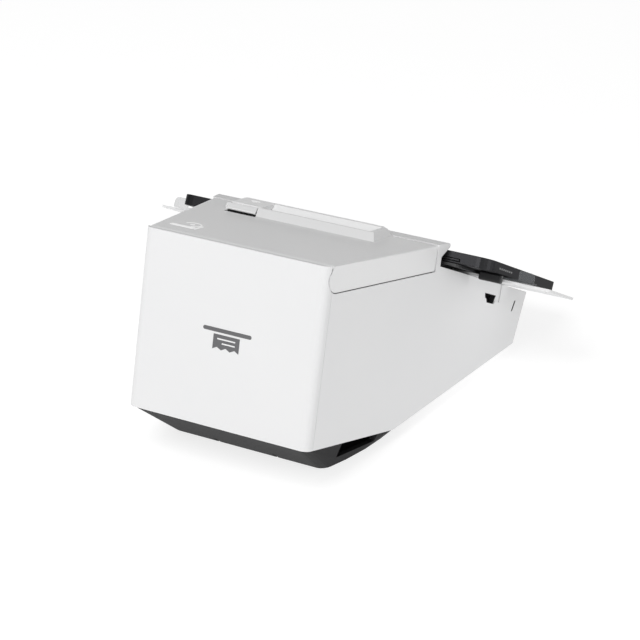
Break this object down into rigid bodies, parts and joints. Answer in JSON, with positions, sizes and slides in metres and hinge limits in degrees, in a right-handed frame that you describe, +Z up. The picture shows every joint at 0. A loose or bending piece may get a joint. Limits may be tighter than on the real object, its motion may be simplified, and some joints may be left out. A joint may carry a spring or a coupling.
{
  "type": "receipt printer",
  "caption": "Counter receipt printer with a leaning body, top cover over the paper roll, and a tilting stand on its sloped front that carries a tablet.",
  "frame": {"origin": "on the counter, under the middle of the bounding box", "axes": "+X to the operator's right, +Y to the customer, +Z up"},
  "size_m": [0.306, 0.3004, 0.1555],
  "materials": {
    "white_plastic": "satin moulded",
    "black_plastic": "fine grain moulded",
    "rubber": "matt",
    "steel": "bright",
    "zinc_sheet": "zinc plated",
    "circuit_board": "solder resist",
    "lens": "clear lens",
    "nylon": "natural",
    "ceramic": "glazed",
    "aluminium": "extruded",
    "paper": "coated thermal paper",
    "card": "plain",
    "tablet_finish": "anodised",
    "glass_black": "polished cover glass over black",
    "clear_plastic": "clear moulded"
  },
  "bodies": {
    "chassis": {"base_tray": "black_plastic", "foot_rear_left": "rubber", "foot_rear_right": "rubber", "foot_front_left": "rubber", "foot_front_right": "rubber", "housing": "white_plastic", "rear_panel": "white_plastic", "exit_block": "white_plastic", "hinge_pin": "steel", "print_frame": "zinc_sheet", "head_spring_left": "steel", "head_spring_right": "steel", "feed_motor": "zinc_sheet", "cutter_case": "black_plastic", "cutter_motor": "zinc_sheet", "roll_bucket": "black_plastic", "main_board": "circuit_board", "key_board": "circuit_board", "power_socket": "black_plastic", "drawer_socket": "black_plastic", "usb_b_socket": "steel", "usb_a_socket": "steel", "lan_socket": "steel", "status_lens": "lens", "mount_pin_left": "steel", "mount_pin_right": "steel"},
    "cover": {"roll_cover": "white_plastic", "cover_frame": "black_plastic", "lever_pin": "steel", "fixed_blade": "steel"},
    "lever": {"open_lever": "white_plastic"},
    "platen": {"platen_roller": "rubber", "platen_shaft": "steel", "platen_gear": "nylon"},
    "idler": {"idler_gear": "nylon"},
    "pinion": {"motor_pinion": "steel"},
    "head": {"print_head": "ceramic", "head_plate": "aluminium"},
    "blade": {"moving_blade": "steel"},
    "cutter_drive": {"cutter_gear": "nylon"},
    "roll": {"paper_roll": "paper", "paper_core": "card"},
    "sensor": {"paper_sensor": "black_plastic"},
    "rocker": {"power_switch": "black_plastic"},
    "button": {"feed_button": "white_plastic"},
    "stand": {"mount_frame": "black_plastic", "carrier_plate": "white_plastic", "clamp_block_left": "black_plastic", "clamp_block_right": "black_plastic", "tablet_shell": "tablet_finish", "tablet_glass": "glass_black"},
    "hook_left": {"clamp_hook_left": "clear_plastic"},
    "hook_right": {"clamp_hook_right": "clear_plastic"},
    "key": {"tablet_key": "tablet_finish"}
  },
  "joints": [
    {"name": "cover_hinge", "type": "hinge", "parent": "chassis", "child": "cover", "pos_m": [0, 0.11196, 0.14817], "axis": [-1, 0, 0], "range_deg": [0, 80]},
    {"name": "open_lever_pivot", "type": "hinge", "parent": "cover", "child": "lever", "pos_m": [0.04815, 0.01995, 0.13095], "axis": [1, 0, 0], "range_deg": [0, 20], "stiffness_Nm_per_rad": 0.03, "springref_deg": -17.19},
    {"name": "platen_spin", "type": "hinge", "parent": "cover", "child": "platen", "pos_m": [-0.0036, 0.03136, 0.11161], "axis": [1, 0, 0], "continuous": true},
    {"name": "idler_spin", "type": "hinge", "parent": "chassis", "child": "idler", "pos_m": [0.0425, 0.03748, 0.09813], "axis": [1, 0, 0], "continuous": true},
    {"name": "pinion_spin", "type": "hinge", "parent": "chassis", "child": "pinion", "pos_m": [0.0425, 0.03281, 0.0884], "axis": [1, 0, 0], "continuous": true},
    {"name": "head_slide", "type": "slide", "parent": "chassis", "child": "head", "axis": [0, -0.9107, -0.4131], "range_m": [0, 0.0006], "stiffness_N_per_m": 1500, "springref_m": -0.002},
    {"name": "blade_slide", "type": "slide", "parent": "chassis", "child": "blade", "axis": [0, 0.9107, 0.4131], "range_m": [0, 0.00514]},
    {"name": "cutter_gear_spin", "type": "hinge", "parent": "chassis", "child": "cutter_drive", "pos_m": [-0.0036, 0.01346, 0.11502], "axis": [0, -0.4131, 0.9107], "range_deg": [0, 80.5]},
    {"name": "roll_spin", "type": "hinge", "parent": "chassis", "child": "roll", "pos_m": [-0.0036, 0.08064, 0.07445], "axis": [1, 0, 0], "continuous": true},
    {"name": "sensor_swing", "type": "hinge", "parent": "chassis", "child": "sensor", "pos_m": [-0.0497, 0.05511, 0.04788], "axis": [1, 0, 0], "range_deg": [0, 8], "stiffness_Nm_per_rad": 0.004, "springref_deg": -17.19},
    {"name": "power_rocker", "type": "hinge", "parent": "chassis", "child": "rocker", "pos_m": [-0.052, -0.10761, 0.0323], "axis": [0, 0.4947, -0.8691], "range_deg": [0, 8]},
    {"name": "feed_button_press", "type": "slide", "parent": "chassis", "child": "button", "axis": [0, 0.8691, 0.4947], "range_m": [0, 0.001], "stiffness_N_per_m": 400, "springref_m": -0.001},
    {"name": "stand_tilt", "type": "hinge", "parent": "chassis", "child": "stand", "pos_m": [0, -0.11211, 0.04851], "axis": [1, 0, 0], "range_deg": [0, 30]},
    {"name": "hook_left_slide", "type": "slide", "parent": "stand", "child": "hook_left", "axis": [-1, 0, 0], "range_m": [0, 0.0105]},
    {"name": "hook_right_slide", "type": "slide", "parent": "stand", "child": "hook_right", "axis": [1, 0, 0], "range_m": [0, 0.0105]},
    {"name": "tablet_key_press", "type": "slide", "parent": "stand", "child": "key", "axis": [0, -0.8691, -0.4947], "range_m": [0, 0.0005], "stiffness_N_per_m": 300, "springref_m": -0.001}
  ],
  "couplings": [
    {"joint": "idler_spin", "follows": "platen_spin", "ratio": -1},
    {"joint": "pinion_spin", "follows": "platen_spin", "ratio": 2},
    {"joint": "cutter_gear_spin", "follows": "blade_slide", "rad_per_m": 271.5}
  ]
}
